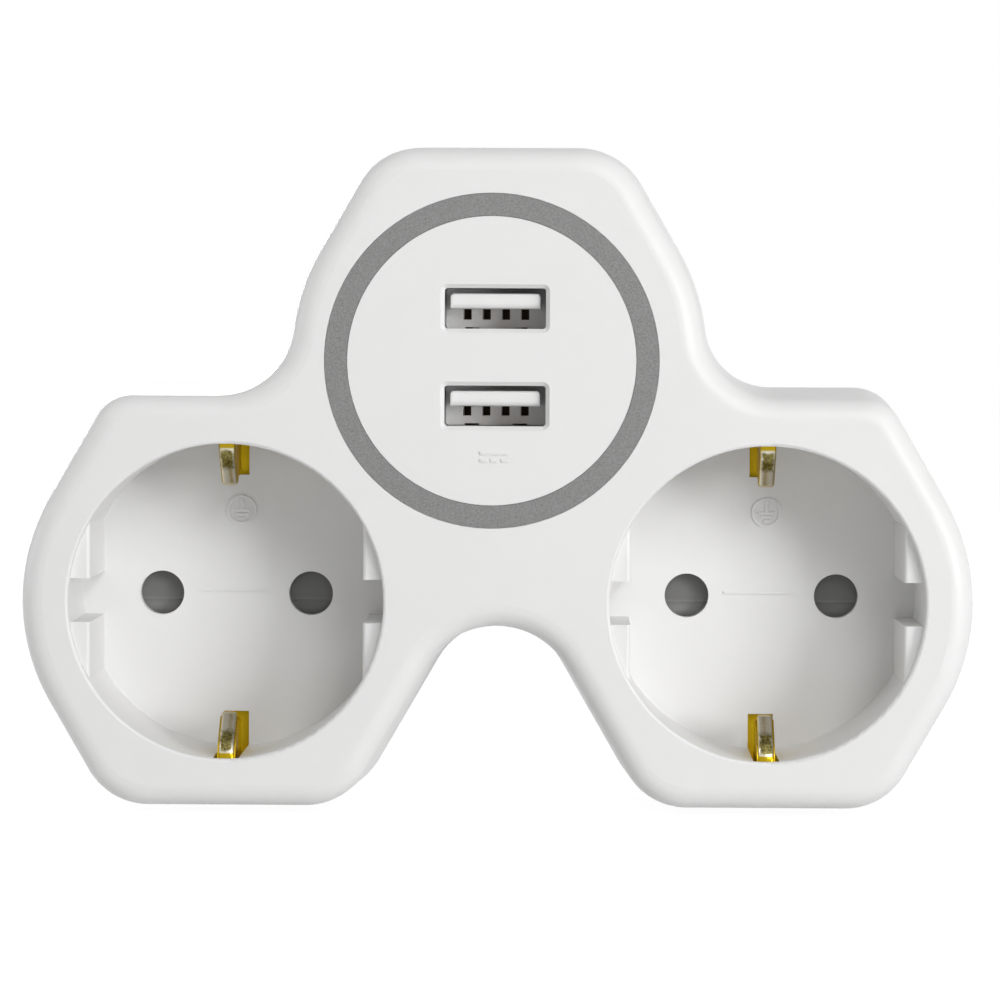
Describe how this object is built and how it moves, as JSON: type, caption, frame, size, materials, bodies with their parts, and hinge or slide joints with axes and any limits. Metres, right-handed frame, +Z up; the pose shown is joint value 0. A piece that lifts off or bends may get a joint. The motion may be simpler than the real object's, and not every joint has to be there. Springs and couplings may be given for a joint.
{
  "type": "socket adapter",
  "caption": "Three-lobed plug-in adapter with earthed sockets, USB charging ports inside a grey ring, and a round plug behind.",
  "frame": {"origin": "centre of the bounding box's bottom, between the feet of the two lower lobes", "axes": "+X to the right seen from the front, +Y from the front face back to the plug pins, +Z up to the USB lobe"},
  "size_m": [0.1198, 0.0766, 0.0836],
  "materials": {
    "white_plastic": "satin moulded",
    "grey_ring": "fine metallic grain",
    "brass": "bright rolled sheet",
    "nickel": "nickel plated",
    "steel": "bright",
    "board": "solder mask",
    "ferrite": "ground ferrite",
    "coil_tape": "tape",
    "can": "sleeved can",
    "black_plastic": "moulded",
    "resistor": "lacquered"
  },
  "bodies": {
    "housing": {"front_cover": "white_plastic", "back_cover": "white_plastic", "accent_ring": "grey_ring", "charger_board": "board", "board_screws": "steel", "transformer_core": "ferrite", "transformer_coil": "coil_tape", "input_capacitor": "can", "output_capacitor": "can", "controller_chip": "black_plastic", "fuse_resistor": "resistor", "live_busbar": "brass", "neutral_busbar": "brass", "earth_bridge": "brass", "plug_earth_strap": "nickel", "plug_pins": "nickel", "retainer_screws": "steel", "housing_screws": "steel", "usb_shell_upper": "steel", "usb_insulator_upper": "white_plastic", "usb_contacts_upper": "brass", "usb_shell_lower": "steel", "usb_insulator_lower": "white_plastic", "usb_contacts_lower": "brass", "earth_strap_left": "brass", "shutter_spring_left": "steel", "shutter_retainer_left": "white_plastic", "earth_strap_right": "brass", "shutter_spring_right": "steel", "shutter_retainer_right": "white_plastic"},
    "shutter_left": {"shutter_left": "white_plastic"},
    "shutter_right": {"shutter_right": "white_plastic"}
  },
  "joints": [
    {"name": "shutter_left_slide", "type": "slide", "parent": "housing", "child": "shutter_left", "axis": [0, 0, 1], "range_m": [0, 0.0066], "stiffness_N_per_m": 60, "springref_m": -0.005, "deforming": ["shutter_spring_left"]},
    {"name": "shutter_right_slide", "type": "slide", "parent": "housing", "child": "shutter_right", "axis": [0, 0, 1], "range_m": [0, 0.0066], "stiffness_N_per_m": 60, "springref_m": -0.005, "deforming": ["shutter_spring_right"]}
  ]
}
